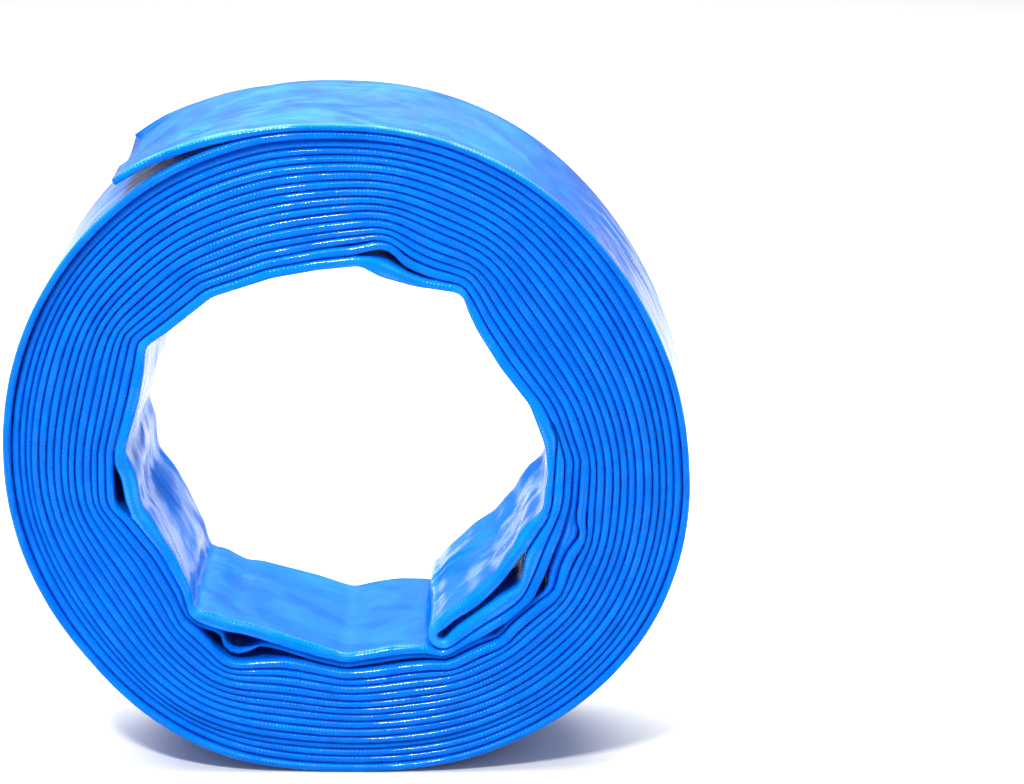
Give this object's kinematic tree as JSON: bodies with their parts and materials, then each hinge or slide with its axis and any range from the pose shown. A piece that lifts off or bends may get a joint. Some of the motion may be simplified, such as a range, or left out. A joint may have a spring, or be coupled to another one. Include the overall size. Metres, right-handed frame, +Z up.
{
  "type": "lay-flat hose roll",
  "caption": "Roll of lay-flat discharge hose, wound tight from a folded inner end, standing on its rim with an open bore and a free outer end.",
  "frame": {"origin": "middle of the flat at the bottom of the rim that the roll stands on", "axes": "+Z up, the roll's axis along Y with the front end facing -Y, the free outer end at the top towards -X"},
  "size_m": [0.2514, 0.0662, 0.2537],
  "materials": {
    "hose": "glossy azure-blue flexible PVC, finely ribbed by the yarn inside its wall"
  },
  "bodies": {
    "root": {"lay_flat_hose": "hose"}
  },
  "joints": []
}
